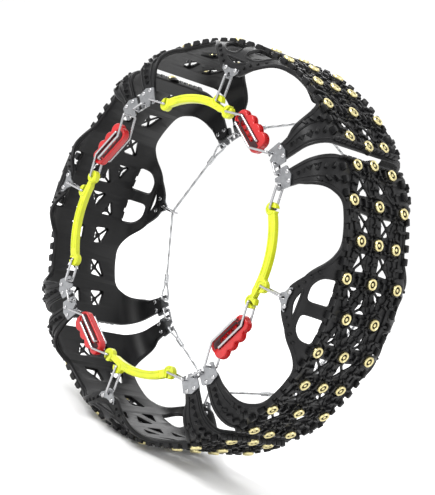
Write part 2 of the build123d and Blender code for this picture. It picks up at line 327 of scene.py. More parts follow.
def copies_tree():
    """Sets copies of one piece on points, turned by "turn" and sized by "size"."""
    tree, given, result = new_tree("Copies On Places", (
        ("Piece", "NodeSocketObject", None),
        ("Overall Size", "NodeSocketFloat", 1.0),
        ("Size Variation", "NodeSocketFloat", 0.0),
        ("Seed", "NodeSocketInt", 7),
        ("Material", "NodeSocketMaterial", None),
    ))
    give = given.outputs
    piece = tree.nodes.new("GeometryNodeObjectInfo")
    copies = tree.nodes.new("GeometryNodeInstanceOnPoints")
    turn = tree.nodes.new("ShaderNodeCombineXYZ")
    vary = tree.nodes.new("FunctionNodeRandomValue")
    scaled = tree.nodes.new("ShaderNodeVectorMath")
    scaled.operation = "SCALE"
    low, high, whole = (tree.nodes.new("ShaderNodeMath") for _ in range(3))
    for node, operation in ((low, "SUBTRACT"), (high, "ADD"), (whole, "MULTIPLY")):
        node.operation = operation
        node.inputs[0].default_value = 1.0
    wired(
        tree,
        (give["Piece"], piece.inputs["Object"]),
        (give["Geometry"], copies.inputs["Points"]),
        (piece.outputs["Geometry"], copies.inputs["Instance"]),
        (named_value(tree, "turn", "FLOAT"), turn.inputs["Z"]),
        (turn.outputs["Vector"], copies.inputs["Rotation"]),
        (give["Size Variation"], high.inputs[1]),
        (give["Size Variation"], low.inputs[1]),
        (low.outputs["Value"], vary.inputs[2]),
        (high.outputs["Value"], vary.inputs[3]),
        (give["Seed"], vary.inputs["Seed"]),
        (vary.outputs[1], whole.inputs[0]),
        (give["Overall Size"], whole.inputs[1]),
        (named_value(tree, "size", "FLOAT_VECTOR"), scaled.inputs[0]),
        (whole.outputs["Value"], scaled.inputs["Scale"]),
        (scaled.outputs["Vector"], copies.inputs["Scale"]),
    )
    finish_tree(tree, given, copies.outputs["Instances"], result)
    return tree


def bead_tree():
    """Runs a round bead along the edges of a path."""
    tree, given, result = new_tree("Bead Along Path", (
        ("Radius", "NodeSocketFloat", 0.003),
        ("Sides", "NodeSocketInt", 8),
        ("Material", "NodeSocketMaterial", None),
    ))
    path = tree.nodes.new("GeometryNodeMeshToCurve")
    profile = tree.nodes.new("GeometryNodeCurvePrimitiveCircle")
    bead = tree.nodes.new("GeometryNodeCurveToMesh")
    bead.inputs["Fill Caps"].default_value = True
    wired(
        tree,
        (given.outputs["Geometry"], path.inputs["Mesh"]),
        (given.outputs["Radius"], profile.inputs["Radius"]),
        (given.outputs["Sides"], profile.inputs["Resolution"]),
        (path.outputs["Curve"], bead.inputs["Curve"]),
        (profile.outputs["Curve"], bead.inputs["Profile Curve"]),
    )
    finish_tree(tree, given, bead.outputs["Mesh"], result)
    return tree


def run_tree(name, base, tree, **values):
    """Applies a tree to a base mesh and returns the plain result. Names use _ for a space."""
    holder = link(name, base)
    change = holder.modifiers.new("Build", "NODES")
    change.node_group = tree
    for socket in tree.interface.items_tree:
        key = socket.name.replace(" ", "_").lower()
        if socket.in_out == "INPUT" and key in values:
            change[socket.identifier] = values[key]
    mesh = plain_mesh(holder)
    mesh.name = name
    mesh.polygons.foreach_set("material_index", [0] * len(mesh.polygons))
    mesh.materials.clear()
    mesh.materials.append(values["material"])
    discard(holder)
    bpy.data.meshes.remove(base)
    return mesh


def places_mesh(places):
    """Points with a turn and a size, from (x, y, z, turn, (sx, sy, sz)) rows."""
    mesh = bpy.data.meshes.new("places")
    mesh.from_pydata([row[:3] for row in places], [], [])
    turn = mesh.attributes.new("turn", "FLOAT", "POINT")
    turn.data.foreach_set("value", [row[3] for row in places])
    size = mesh.attributes.new("size", "FLOAT_VECTOR", "POINT")
    size.data.foreach_set("vector", [part for row in places for part in row[4]])
    return mesh


def path_mesh(paths, closed):
    """Edges along each list of points."""
    points = []
    edges = []
    for path in paths:
        start = len(points)
        points += path
        edges += [(start + i, start + i + 1) for i in range(len(path) - 1)]
        if closed:
            edges.append((start + len(path) - 1, start))
    mesh = bpy.data.meshes.new("path")
    mesh.from_pydata(points, edges, [])
    return mesh


def set_copies(name, mesh, places, material, variation=0.0, seed=7):
    """Copies of a mesh on places, as a plain mesh."""
    pattern = link(name + "_pattern", mesh)
    tree = bpy.data.node_groups.get("Copies On Places") or copies_tree()
    result = run_tree(name, places_mesh(places), tree, piece=pattern, overall_size=1.0,
                      size_variation=variation, seed=seed, material=material)
    discard(pattern)
    return result


def set_beads(name, paths, radius, sides, material, closed=False):
    tree = bpy.data.node_groups.get("Bead Along Path") or bead_tree()
    return run_tree(name, path_mesh(paths, closed), tree, radius=radius, sides=sides,
                    material=material)


# ---------------------------------------------------------------- finishes
def new_material(name, colour, roughness, metallic=0.0):
    """Material with its shader, and the Object coordinates that its patterns follow."""
    material = bpy.data.materials.new(name)
    material.use_nodes = True
    tree = material.node_tree
    shader = tree.nodes["Principled BSDF"]
    shader.inputs["Base Color"].default_value = (*colour, 1)
    shader.inputs["Roughness"].default_value = roughness
    shader.inputs["Metallic"].default_value = metallic
    place = tree.nodes.new("ShaderNodeTexCoord")
    return material, tree, shader, place.outputs["Object"]


def noise(tree, place, scale, detail=4.0, roughness=0.5):
    node = tree.nodes.new("ShaderNodeTexNoise")
    node.inputs["Scale"].default_value = scale
    node.inputs["Detail"].default_value = detail
    node.inputs["Roughness"].default_value = roughness
    tree.links.new(place, node.inputs["Vector"])
    return node.outputs["Fac"]


def ramp(tree, value, stops):
    """Colour ramp from (position, colour) stops."""
    node = tree.nodes.new("ShaderNodeValToRGB")
    while len(node.color_ramp.elements) < len(stops):
        node.color_ramp.elements.new(0.5)
    for element, (position, colour) in zip(node.color_ramp.elements, stops):
        element.position = position
        element.color = (*colour, 1)
    tree.links.new(value, node.inputs["Fac"])
    return node.outputs["Color"]


def spread(tree, value, low, high):
    """Maps 0..1 onto low..high."""
    node = tree.nodes.new("ShaderNodeMapRange")
    node.inputs["To Min"].default_value = low
    node.inputs["To Max"].default_value = high
    tree.links.new(value, node.inputs["Value"])
    return node.outputs["Result"]


def bump(tree, shader, value, strength, distance):
    node = tree.nodes.new("ShaderNodeBump")
    node.inputs["Strength"].default_value = strength
    node.inputs["Distance"].default_value = distance
    tree.links.new(value, node.inputs["Height"])
    tree.links.new(node.outputs["Normal"], shader.inputs["Normal"])


def shade(colour, factor):
    return tuple(min(part * factor, 1.0) for part in colour[:3])


def patterned(name, colour, roughness, patches, grain, tints, polish, relief, metallic=0.0):
    """Material with patches of tint and polish over a fine grain.

    patches and grain are noise settings, tints are (position, share of the colour) stops, polish
    is the roughness from lowest to highest, and relief is the grain's strength and depth."""
    material, tree, shader, place = new_material(name, colour, roughness, metallic)
    cloud = noise(tree, place, *patches)
    fine = noise(tree, place, *grain)
    stops = [(position, shade(colour, share)) for position, share in tints]
    tree.links.new(ramp(tree, cloud, stops), shader.inputs["Base Color"])
    tree.links.new(spread(tree, cloud, *polish), shader.inputs["Roughness"])
    bump(tree, shader, fine, *relief)
    return material, shader


def net_material(name, colour):
    """Black moulded polymer: fine grain, faint flow marks and a duller bloom in patches."""
    material, shader = patterned(name, colour, 0.4, (14, 5, 0.6), (900, 3, 0.6),
                                 ((0.35, 0.75), (0.7, 1.7)), (0.3, 0.5), (0.25, 0.0004))
    shader.inputs["Specular IOR Level"].default_value = 0.22
    return material


def plated_material(name, colour, roughness, mottling, metallic=1.0):
    """Plated metal: a mottled tint and uneven polish."""
    material, _ = patterned(name, colour, roughness, (120, 5, 0.6), (1400, 2, 0.5),
                            ((0.3, 1 - mottling), (0.7, 1 + mottling)),
                            (roughness * 0.7, roughness * 1.35), (0.15, 0.0002), metallic)
    return material


def plastic_material(name, colour, roughness, coat):
    """Moulded plastic: faint orange peel and slightly uneven colour under a glossy skin."""
    material, shader = patterned(name, colour, roughness, (45, 4, 0.55), (700, 2, 0.5),
                                 ((0.3, 0.88), (0.7, 1.08)),
                                 (roughness * 0.8, roughness * 1.25), (0.12, 0.0003))
    shader.inputs["Coat Weight"].default_value = coat
    shader.inputs["Coat Roughness"].default_value = 0.12
    return material


def stud_material(name, colour):
    """Pale gold plating, with painted shade down in each stud's ring groove."""
    material = plated_material(name, colour, 0.3, 0.14)
    tree = material.node_tree
    shader = tree.nodes["Principled BSDF"]
    tint = shader.inputs["Base Color"].links[0].from_socket
    groove = tree.nodes.new("ShaderNodeAttribute")
    groove.attribute_name = "groove"
    groove_shade_mix = tree.nodes.new("ShaderNodeMix")
    groove_shade_mix.data_type = "RGBA"
    # Painted shade colour, mixed into the plating down each ring groove.
    groove_shade_mix.inputs[7].default_value = (0.03, 0.026, 0.018, 1)
    wired(tree, (groove.outputs["Fac"], groove_shade_mix.inputs[0]), (tint, groove_shade_mix.inputs[6]),
          (groove_shade_mix.outputs[2], shader.inputs["Base Color"]))
    return material


def finish(name, build, *facts):
    """The named material, built on its first use."""
    return bpy.data.materials.get(name) or build(name, *facts)


def paint(piece, material):
    piece.data.materials.clear()
    piece.data.materials.append(material)


# ---------------------------------------------------------------- net pattern
def stud_places():
    """(angle, y) of each of a panel's studs: alternate rows of wide, narrow and middle spacing."""
    places = []
    for row in range(-4, 5):
        reach = MIDDLE_ROW if row == 0 else WIDE_ROW if row % 2 else NARROW_ROW
        for offset in (-reach, 0, reach) if row else (-reach, reach):
            lead = END_LEAD if abs(row) == 4 and offset == 0 else 0
            places.append((row * ROW_PITCH + (lead if row > 0 else -lead), offset))
    return places


def mirrored_ways():
    """The four mirror images of a quarter of the panel's pattern."""
    return [(across, along) for across in SIDES for along in SIDES]


def rounded(corners, radius, steps=5):
    """Closed outline with every corner rounded as far as its sides allow."""
    points = []
    count = len(corners)
    for i, corner in enumerate(corners):
        here = Vector(corner)
        before = Vector(corners[i - 1]) - here
        after = Vector(corners[(i + 1) % count]) - here
        reach = min(radius, before.length * 0.45, after.length * 0.45)
        start = here + before.normalized() * reach
        end = here + after.normalized() * reach
        for step in range(steps + 1):
            t = step / steps
            points.append(tuple(start * (1 - t) ** 2 + here * 2 * t * (1 - t) + end * t * t))
    return points


def bay_outline(along):
    """The open bay between an end arm and the middle arm, on one half of one side."""
    places = ((0.280, 4.0), (0.322, 3.9), (0.352, 9.2), (0.372, 13.2), (0.3835, 18.0),
              (0.385, 24.0), (0.380, 30.5), (0.366, 34.2), (0.345, 35.6), (0.318, 36.8),
              (0.280, 36.8))
    return [sheet_point(r, c * along) if r < SHOULDER_TOP else
            (FLAT_HALF + 0.002 - (r - SHOULDER_TOP) * 0.6, radians(c * along) * SHEET_SCALE)
            for r, c in places]


def panel_outline():
    """Outer edge of the panel's sheet on its outer side, from one seam to the other."""
    seam = degrees(HALF_ANGLE)
    arm = [sheet_point(r, c) for r, c in ((ARM_TOP, seam), (0.345, seam - 0.2), (0.318, seam - 0.2),
                                          (0.2895, seam - 0.3), (0.2895, 37.2))]
    arm += list(reversed(bay_outline(1)))[1:-1]
    tip = [sheet_point(0.3225, 0.0)]
    return arm + tip + [(x, -y) for x, y in reversed(arm)]


def middle_arm_holes():
    """Openings of the middle arm: a triangle near the tip and a rounded pair by its centre bar."""
    triangle = [sheet_point(r, c) for r, c in ((0.351, 5.4), (0.351, -5.4), (0.339, 0.0))]
    half = ((0.357, 1.6), (0.3575, 6.4), (0.368, 9.2), (0.3755, 9.4), (0.3755, 1.6))
    pair = [sheet_point(r, c) for r, c in half]
    pair[-2] = (FLAT_HALF - 0.006, pair[-2][1])
    pair[-1] = (FLAT_HALF - 0.006, pair[-1][1])
    return [triangle, pair, [(x, -y) for x, y in pair]]


def cells():
    """Corners (angle, y) of each opening between neighbouring studs."""
    found = []
    for along in SIDES:
        found.append([(0, -MIDDLE_ROW), (0, MIDDLE_ROW), (along, 0)])
        for across in SIDES:
            wide = across * WIDE_ROW
            narrow = across * NARROW_ROW
            found.append([(0, across * MIDDLE_ROW), (along, 0), (along, wide)])
            for row, near, far in ((1, wide, narrow), (2, narrow, wide), (3, wide, narrow)):
                here, next_row = along * row, along * (row + 1)
                found.append([(here, 0), (here, near), (next_row, far), (next_row, 0)])
    return [[(y, row * ROW_PITCH * SHEET_SCALE) for row, y in cell] for cell in found]


def shrunk(corners, margin):
    """The outline drawn in toward its middle by about the margin."""
    middle = middle_of(corners)
    arms = [Vector(corner) - middle for corner in corners]
    return [tuple(middle + arm * max(1 - margin / arm.length, 0.2)) for arm in arms]


def filled_sheet(outlines, thickness, edge):
    """Flat sheet on z = 0: outlines filled by the even-odd rule, with rounded edges."""
    curve = bpy.data.curves.new("sheet", "CURVE")
    curve.dimensions = "2D"
    curve.fill_mode = "BOTH"
    curve.bevel_depth = edge
    curve.bevel_resolution = 1
    curve.extrude = thickness / 2 - edge
    curve.offset = -edge
    for outline in outlines:
        spline = curve.splines.new("POLY")
        spline.points.add(len(outline) - 1)
        spline.points.foreach_set("co", [part for x, y in outline for part in (x, y, 0, 1)])
        spline.use_cyclic_u = True
    holder = link("sheet", curve)
    mesh = plain_mesh(holder)
    discard(holder)
    bpy.data.curves.remove(curve)
    work = opened(mesh)
    bmesh.ops.remove_doubles(work, verts=work.verts, dist=1e-5)
    bmesh.ops.translate(work, verts=work.verts, vec=(0, 0, thickness / 2))
    bmesh.ops.recalc_face_normals(work, faces=work.faces)
    return written(work, mesh)


def net_sheet(outlines):
    """The net's sheet, cut across where it will bend."""
    mesh = filled_sheet(outlines, NET_THICKNESS, 0.001)
    work = opened(mesh)
    bends = np.linspace(FLAT_HALF, FLAT_HALF + SHOULDER_RUN, 8)
    length = HALF_ANGLE * SHEET_SCALE
    cuts = [((x, 0, 0), (1, 0, 0)) for x in (*bends, *-bends)]
    cuts += [((0, y, 0), (0, 1, 0)) for y in np.linspace(-length, length, 50)[1:-1]]
    for place, normal in cuts:
        bmesh.ops.bisect_plane(work, geom=work.verts[:] + work.edges[:] + work.faces[:],
                               plane_co=place, plane_no=normal, dist=1e-6)
    bmesh.ops.recalc_face_normals(work, faces=work.faces)
    return written(work, mesh)


def middle_of(corners):
    return sum((Vector(corner) for corner in corners), Vector((0, 0))) / len(corners)


def rib_paths():
    """The ribs between neighbouring studs, in pairs of sheet points."""
    ribs = set()
    for cell in cells():
        for i, corner in enumerate(cell):
            pair = sorted((cell[i - 1], corner))
            ribs.add((pair[0], pair[1]))
    for across in (-WIDE_ROW, WIDE_ROW):
        for rows in ((-1, -3), (1, 3), (-1, 1)):
            ribs.add(tuple((across, row * ROW_PITCH * SHEET_SCALE) for row in rows))
    return sorted(ribs)


def net_blocks():
    """Places of the net's raised blocks, by kind: (x, y, z, turn, size) rows on the sheet."""
    base = NET_THICKNESS - 0.0005
    kinds = {"rib": [], "cleat": [], "lump": [], "edge": [], "knob": [], "spike": [], "boss": []}

    def add(kind, place, sink=0.0, turn=0.0, size=UNIT):
        kinds[kind].append((place[0], place[1], base - sink, turn, size))

    for c, y in stud_places():
        add("boss", (y, c * SHEET_SCALE))
    for start, end in rib_paths():
        run = Vector(end) - Vector(start)
        turn = atan2(run.y, run.x)
        add("rib", (Vector(start) + Vector(end)) / 2, 0, turn, (run.length, 1.0, 1.0))
        count = 3 if run.length > LONG_RIB else 2
        for i in range(count):
            add("cleat", Vector(start) + run * ((i + 1) / (count + 1)), 0, turn + pi / 2)
    for cell in cells():
        cell_blocks(add, cell)
    edge_blocks(add)
    return kinds


def cell_blocks(add, cell):
    """Lumps, cross ribs and knobs round an opening between neighbouring studs."""
    middle = middle_of(cell)
    for i, corner in enumerate(cell):
        side = (Vector(corner) + Vector(cell[i - 1])) / 2
        run = Vector(corner) - Vector(cell[i - 1])
        for step, lean in ((-0.24, 0.7), (0.0, -0.6), (0.24, 1.2)):
            place = middle + (side - middle) * 0.74 + run * step
            add("lump", place, 0.0008, atan2(run.y, run.x) + lean)
        arm = Vector(corner) - middle
        turn = atan2(arm.y, arm.x)
        add("rib", middle + arm * 0.42, 0.001, turn, (arm.length * 0.8, 0.6, 0.75))
        add("knob", middle + arm * 0.5, 0, turn, (0.8, 0.8, 0.8))
    add("knob", middle, 0, 0.4, (1.25, 1.25, 1.0))


def edge_blocks(add):
    """Blocks along the tread's edges and seams, with spikes and knobs down the arms."""
    seam = HALF_ANGLE * SHEET_SCALE
    for across in SIDES:
        for i in range(-11, 12):
            y = i * seam / 12
            add("edge", (across * (FLAT_HALF - 0.001), y), 0, pi / 2, (0.9, 0.8, 0.9))
            if abs(y / SHEET_SCALE) > ARM_START:
                lean = pi / 2 + 0.5 * across * (-1) ** i
                for k in range(3):
                    add("edge", (across * (FLAT_HALF + 0.014 + 0.013 * k), y), 0.001 * k, lean,
                        (0.75, 0.7, 0.75 - 0.1 * k))
    for along in SIDES:
        for i in range(-6, 7):
            add("edge", (i * 0.0135, along * (seam - 0.006)), 0, 0, (0.75, 0.8, 1.0))
        for across in SIDES:
            for i in range(4):
                x, y = sheet_point(0.322 + 0.012 * i, (39.9 + 0.1 * i) * along)
                add("spike", (across * x, y), 0, pi / 2, (1.0 + 0.12 * i,) * 2 + (1.0,))
            for r, c in TIP_KNOBS:
                x, y = sheet_point(r, c * along)
                add("knob", (across * x, y), 0, 0, (0.6, 0.6, 0.7))


def block_meshes():
    """The raised blocks' own shapes, one of each kind."""
    knob_profile = ((0, 0), (0.0048, 0), (0.0042, 0.0045), (0.003, 0.0058), (0, 0.0058))
    boss_profile = ((0.0051, 0), (0.0145, 0), (0.0132, 0.002), (0.0128, 0.0052), (0.0121, 0.0062),
                    (0.0051, 0.0062))
    return {
        "rib": block("rib", 1.0, 0.008, 0.0035, 0.0, 0.001),
        "cleat": block("cleat", 0.015, 0.0055, 0.0085, 0.18, 0.0007),
        "lump": block("lump", 0.0095, 0.0048, 0.0062, 0.25, 0.0006),
        "edge": block("edge", 0.017, 0.0085, 0.0106, 0.22, 0.0008),
        "knob": lathe("knob", knob_profile, 8),
        "spike": lathe("spike", ((0, 0), (0.0062, 0), (0.001, 0.0075), (0, 0.0078)), 3),
        "boss": lathe("boss", boss_profile, 24, closed=True),
    }


def lip_paths():
    """Raised lips along the bays, drawn into the sheet toward both ends of each."""
    lips = []
    for across, along in mirrored_ways():
        bay = rounded(bay_outline(along), 0.016)
        heart = middle_of(bay)
        path = dense([(x, y) for x, y in bay
                      if x < sheet_x(0.338 if abs(y) < MIDDLE_ARM * SHEET_SCALE else 0.314)])
        last = len(path) - 1
        lip = []
        for i, point in enumerate(path):
            run = Vector(path[min(i + 1, last)]) - Vector(path[max(i - 1, 0)])
            aside = Vector((-run.y, run.x)).normalized()
            if aside.dot(Vector(point) - heart) < 0:
                aside.negate()
            ease = max(1 - min(i, last - i) / LIP_EASE, 0) ** 2
            x, y = Vector(point) + aside * 0.0048 * ease
            lip.append((across * x, y, NET_THICKNESS - 0.0015 - 0.0036 * ease))
        lips.append(lip)
    return lips


def ridge_paths():
    """Slimmer ridges along both sides of each end arm."""
    seam = degrees(HALF_ANGLE)
    lines = (((ARM_TOP, seam - 1.0), (0.350, seam - 1.1), (0.326, seam - 1.1), (0.311, seam - 1.2)),
             ((ARM_TOP, 35.8), (0.350, 37.4), (0.326, 38.3), (0.311, 38.6)))
    ridges = []
    for across, along in mirrored_ways():
        for line in lines:
            path = [sheet_point(r, c * along) for r, c in line]
            ridges.append(dense([(across * x, y, NET_THICKNESS - 0.0005) for x, y in path]))
    return ridges


def dense(path, gap=0.006):
    """The path with extra points, so that it can bend."""
    points = [path[0]]
    for start, end in zip(path, path[1:]):
        run = Vector(end) - Vector(start)
        count = max(int(run.length / gap), 1)
        points += [tuple(Vector(start) + run * (i + 1) / count) for i in range(count)]
    return points


def densified(mesh, gap):
    """The mesh with its long edges divided, so that it can follow the tyre."""
    work = opened(mesh)
    for _ in range(3):
        long_edges = [e for e in work.edges if e.calc_length() > gap]
        if not long_edges:
            break
        bmesh.ops.subdivide_edges(work, edges=long_edges, cuts=1)
    return written(work, mesh)


def net_mesh(material):
    """The right-hand panel's whole net, wrapped to the tyre."""
    sizes = bpy.context.scene.chain_sizes
    edge = panel_outline()
    outline = rounded(edge + [(-x, y) for x, y in reversed(edge)], 0.009, 4)
    arm_holes = [rounded([(across * x, y) for x, y in corners], 0.012, 4)
                 for corners in middle_arm_holes() for across in SIDES]
    windows = [rounded(shrunk(cell, sizes.window_margin), 0.006, 3) for cell in cells()]
    parts = [net_sheet([outline, *arm_holes, *windows])]
    shapes = block_meshes()
    for kind, places in net_blocks().items():
        variation = 0.0 if kind == "boss" else sizes.block_variation
        mesh = set_copies(kind, shapes[kind], places, material, variation)
        parts.append(densified(mesh, 0.014) if kind == "rib" else mesh)
    rims = [[(x, y, NET_THICKNESS - 0.001) for x, y in ring] for ring in arm_holes]
    parts.append(set_beads("lip", lip_paths(), sizes.lip_radius, 10, material))
    parts.append(set_beads("ridge", ridge_paths(), sizes.ridge_radius, 8, material))
    parts.append(set_beads("rim", rims, sizes.rim_radius, 8, material, closed=True))
    mesh = joined("net", parts, material)
    set_points(mesh, wrap(mesh_points(mesh)))
    return outward(mesh)


def stud_mesh(material):
    """The right-hand panel's studs: a domed rim, a ring groove and a steel core."""
    profile = ((0, 0), (0.0049, 0), (0.0049, 0.010), (0.0108, 0.010), (0.0111, 0.0112),
               (0.0109, 0.0138), (0.0098, 0.0156), (0.0086, 0.016), (0.0072, 0.0152),
               (0.0058, 0.0138), (0.0054, 0.0118), (0.0034, 0.0118), (0.0032, 0.0144),
               (0.0020, 0.0150), (0, 0.0150))
    pattern = lathe("stud", profile, 28)
    foot = STUD_TOP - 0.016 - NET_INNER
    places = [(y, c * SHEET_SCALE, foot, 0.0, UNIT) for c, y in stud_places()]
    mesh = set_copies("studs", pattern, places, material)
    points = mesh_points(mesh)
    centres = np.array([place[:2] for place in places])
    nearest = ((points[:, None, :2] - centres[None]) ** 2).sum(2).argmin(1)
    reach = np.hypot(*(points[:, :2] - centres[nearest]).T)
    # The ring groove's points, which stud_material darkens with painted shade.
    groove_shade_mask = (reach > 0.0033) & (reach < 0.0073) & (points[:, 2] < foot + 0.0145)
    groove = mesh.attributes.new("groove", "FLOAT", "POINT")
    groove.data.foreach_set("value", groove_shade_mask.astype(np.float32))
    set_points(mesh, stiff_wrap(points, centres[nearest]))
    return mesh


def stiff_wrap(points, centres):
    """Lays rigid pieces on the tread: each is turned with its centre, and isn't bent."""
    angle = centres[:, 1] / SHEET_SCALE
    radius = NET_INNER + points[:, 2]
    round_offset = points[:, 1] - centres[:, 1]
    return np.column_stack([
        radius * np.cos(angle) - round_offset * np.sin(angle),
        -points[:, 0],
        -radius * np.sin(angle) - round_offset * np.cos(angle),
    ])


def on_every_panel(*sets):
    """Sets meshes on all four panels, from (mesh, label, body, slot, sharp angle, node) rows; the
    slot is not used.

    Each copy rides on its panel's own body, and stands for the node if one is given."""
    for index, panel in enumerate(PANELS):
        for mesh, label, body, slot_name, angle, *node in sets:
            copy = mesh.copy()
            set_points(copy, turned(mesh_points(copy), index))
            piece = link(f"{label}_{panel}", copy)
            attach(piece, f"{body}_{panel}")
            if node:
                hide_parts(f"{node[0]}_{panel}")
            smooth(copy, angle)


# ---------------------------------------------------------------- side hardware
def side_spot(place):
    """Side-view point, along X and Z, of a place (radius, angle in degrees)."""
    r, c = place
    return Vector((r * cos(radians(c)), -r * sin(radians(c))))


def stood(mesh, inner=False):
    """Stands a mesh drawn in the side view, its z outward, on the tyre's side."""
    u, v, w = mesh_points(mesh).T
    set_points(mesh, np.column_stack([u, w if inner else -w, v]))
    return outward(mesh)


def rivet_mesh(material):
    """A panel's domed rivets, each through its arm and plate."""
    foot = SIDE_INNER - 0.0016
    top = NET_SIDE + PLATE
    profile = ((0, foot), (0.0038, foot), (0.0046, foot + 0.0007), (0.0046, SIDE_INNER),
               (0.0026, SIDE_INNER), (0.0026, top), (0.0046, top), (0.0045, top + 0.0009),
               (0.0034, top + 0.0019), (0.0017, top + 0.0024), (0, top + 0.0024))
    places = [(*side_spot(place), 0.0, 0.0, UNIT) for place in RIVETS]
    sides = []
    for inner in (False, True):
        pattern = lathe("rivet", profile, 20)
        sides.append(stood(set_copies("rivets", pattern, places, material), inner))
    return joined("rivets", sides, material)


def spine_radius(c):
    """Radius of the connector's middle line at an angle."""
    return 0.262 - 0.0000155 * (c + 13) ** 2


def connector_ribs(material):
    """Raised lines on the connector: a pair along its bar, and a part ring at each hook."""
    face = RING_LEVEL + CONNECTOR_HALF
    paths = []
    for offset in (-0.0042, 0.0042):
        spots = [side_spot((spine_radius(c) + offset, c)) for c in np.linspace(-25.0, -4.0, 24)]
        paths.append([(*spot, face) for spot in spots])
    for pin, start, end in ((START_PIN, 170, 330), (END_PIN, 40, 200), (SIDE_PIN, 50, 215)):
        turns = np.radians(np.linspace(start, end, 20))
        centre = side_spot(pin)
        paths.append([(centre.x + HOOK_RING * cos(a), centre.y + HOOK_RING * sin(a), face)
                      for a in turns])
    return stood(set_beads("connector_ribs", paths, 0.0015, 8, material))


def on_lever(mesh):
    """Moves a mesh drawn along the lever's own axes to the lever."""
    start = side_spot(END_PIN)
    end = side_spot(RING_SLOT)
    middle = (start + end) / 2
    angle = atan2(end.y - start.y, end.x - start.x) - LEVER_TILT
    u, v, w = mesh_points(mesh).T
    set_points(mesh, np.column_stack([
        middle.x + u * cos(angle) - v * sin(angle),
        middle.y + u * sin(angle) + v * cos(angle), w,
    ]))
    return stood(mesh)


def pill(length, width, steps=10):
    """Outline of a long hole with round ends."""
    reach = (length - width) / 2
    return [(side * reach + width / 2 * cos(a), width / 2 * sin(a))
            for side, first in ((1, -pi / 2), (-1, pi / 2))
            for a in np.linspace(first, first + pi, steps)]


def lever_rack(material):
    """Dark toothed strip set in the lever's channel, on its front; its dark colour is painted shade
    in the channel.
    """
    floor = RING_LEVEL + LEVER_HALF - 0.0015
    half = ((-0.0265, -0.0097), (0.036, -0.0097), (0.040, -0.005), (0.040, 0.0044),
            (0.0265, 0.0044))
    outline = rounded([*half, *((-x, -y) for x, y in half)], 0.002)
    slot = [(x - 0.002, y) for x, y in pill(0.050, 0.0095)]
    strip = filled_sheet([outline, slot], 0.0008, 0.0002)
    set_points(strip, mesh_points(strip) + np.array((0, 0, floor)))
    teeth = [(x, way * 0.0066, floor + 0.0004, 0.0, UNIT)
             for x in np.linspace(-0.022, 0.018, 9) for way in SIDES]
    bars = set_copies("teeth", block("tooth", 0.0026, 0.0034, 0.001, 0.2, 0.0002), teeth, material)
    return on_lever(joined("rack", [strip, bars], material))


def lever_grips(material):
    """Upright ridges round the lobes of the lever's handle."""
    places = []
    for x, y, radius in LEVER_LOBES:
        for a in np.radians(np.linspace(50, 130, 7)):
            spot = (x + radius * cos(a), y + radius * sin(a))
            if all(hypot(spot[0] - u, spot[1] - v) > reach + 0.0002
                   for u, v, reach in LEVER_LOBES if (u, v) != (x, y)):
                places.append((*spot, RING_LEVEL - 0.0045, a, UNIT))
    pattern = block("grip", 0.0016, 0.0014, 0.009, 0.0, 0.0004)
    return on_lever(set_copies("grips", pattern, places, material))


def rounded_route(corners, radius, gap):
    """Open route through 3-D corners, each rounded, with a point at about every gap."""
    points = [Vector(corners[0])]
    for before, here, after in zip(corners, corners[1:], corners[2:]):
        here = Vector(here)
        back = (Vector(before) - here).normalized()
        ahead = (Vector(after) - here).normalized()
        half = back.angle(ahead) / 2
        if half > radians(89):
            points.append(here)
            continue
        reach = radius / np.tan(half)
        centre = here + (back + ahead).normalized() * (radius / sin(half))
        first = here + back * reach - centre
        last = here + ahead * reach - centre
        points += [centre + first.slerp(last, step / 8) * radius for step in range(9)]
    points.append(Vector(corners[-1]))
    return [Vector(point) for point in dense(points, gap)]


def strand_paths(route, across, lay, pitch, count):
    """Paths of a cable's strands, laid in a helix about its route."""
    run = 0.0
    strands = [[] for _ in range(count)]
    for i, point in enumerate(route):
        before, after = route[max(i - 1, 0)], route[min(i + 1, len(route) - 1)]
        run += (point - before).length
        along = (after - before).normalized()
        other = along.cross(across).normalized()
        for k, strand in enumerate(strands):
            angle = 2 * pi * (run / pitch + k / count)
            strand.append(tuple(point + across * lay * cos(angle) + other * lay * sin(angle)))
    return strands


def ferrule_mesh(across, along, foot):
    """Ferrule crimped in four places, from its foot along the cable."""
    profile = [(0.0, 0.0)]
    for crimp in range(4):
        for radius, rise in ((0.0046, 0), (0.005, 0.0006), (0.005, 0.0036), (0.0046, 0.0044)):
            profile.append((radius, CRIMP_PITCH * crimp + rise))
    mesh = lathe("ferrule", (*profile, (0.0, FERRULE_LENGTH)), 20)
    aim = np.array((across, (0, 0, 1), along))
    set_points(mesh, mesh_points(mesh) @ aim + np.array(foot))
    return outward(mesh)


def cable_mesh(material):
    """The inner cable: twisted strands, an eye at each end and a crimped ferrule on each."""
    sizes = bpy.context.scene.chain_sizes
    tip = side_spot(RING_SLOT)
    bend = side_spot(CABLE_BEND)
    along = (bend - tip).normalized()
    throat = tip + along * EYE_LENGTH
    grip = throat + along * FERRULE_LENGTH * 0.4
    end = throat + along * (FERRULE_LENGTH - 0.005)
    shoulder = tip + along * EYE_LENGTH * 0.4
    half = ((grip, STRAND_OFF), (throat, STRAND_OFF), (shoulder, EYE_HALF), (tip, EYE_HALF))
    parts = []
    for sign in (1, -1):
        loop = [(p.x, sign * p.y, RING_LEVEL + width) for p, width in half]
        loop += [(p.x, sign * p.y, RING_LEVEL - width) for p, width in reversed(half)]
        across = Vector((-along.y * sign, along.x, 0))
        strands = strand_paths(rounded_route(loop, 0.0032, 0.0015), across, *EYE_LAY,
                               sizes.strands)
        parts.append(set_beads("eye", strands, EYE_STRAND, 6, material))
        parts.append(ferrule_mesh(across, (along.x, along.y * sign, 0),
                                  (throat.x, sign * throat.y, RING_LEVEL)))
    corners = [(p.x, y, RING_LEVEL) for p, y in ((end, end.y), (bend, bend.y), (end, -end.y))]
    strands = strand_paths(rounded_route(corners, CABLE_ROUND, 0.002), Vector((0, 0, 1)),
                           *CABLE_LAY, sizes.strands)
    parts.append(set_beads("cable", strands, sizes.strand_radius, 6, material))
    return stood(joined("cable", parts, material), inner=True)


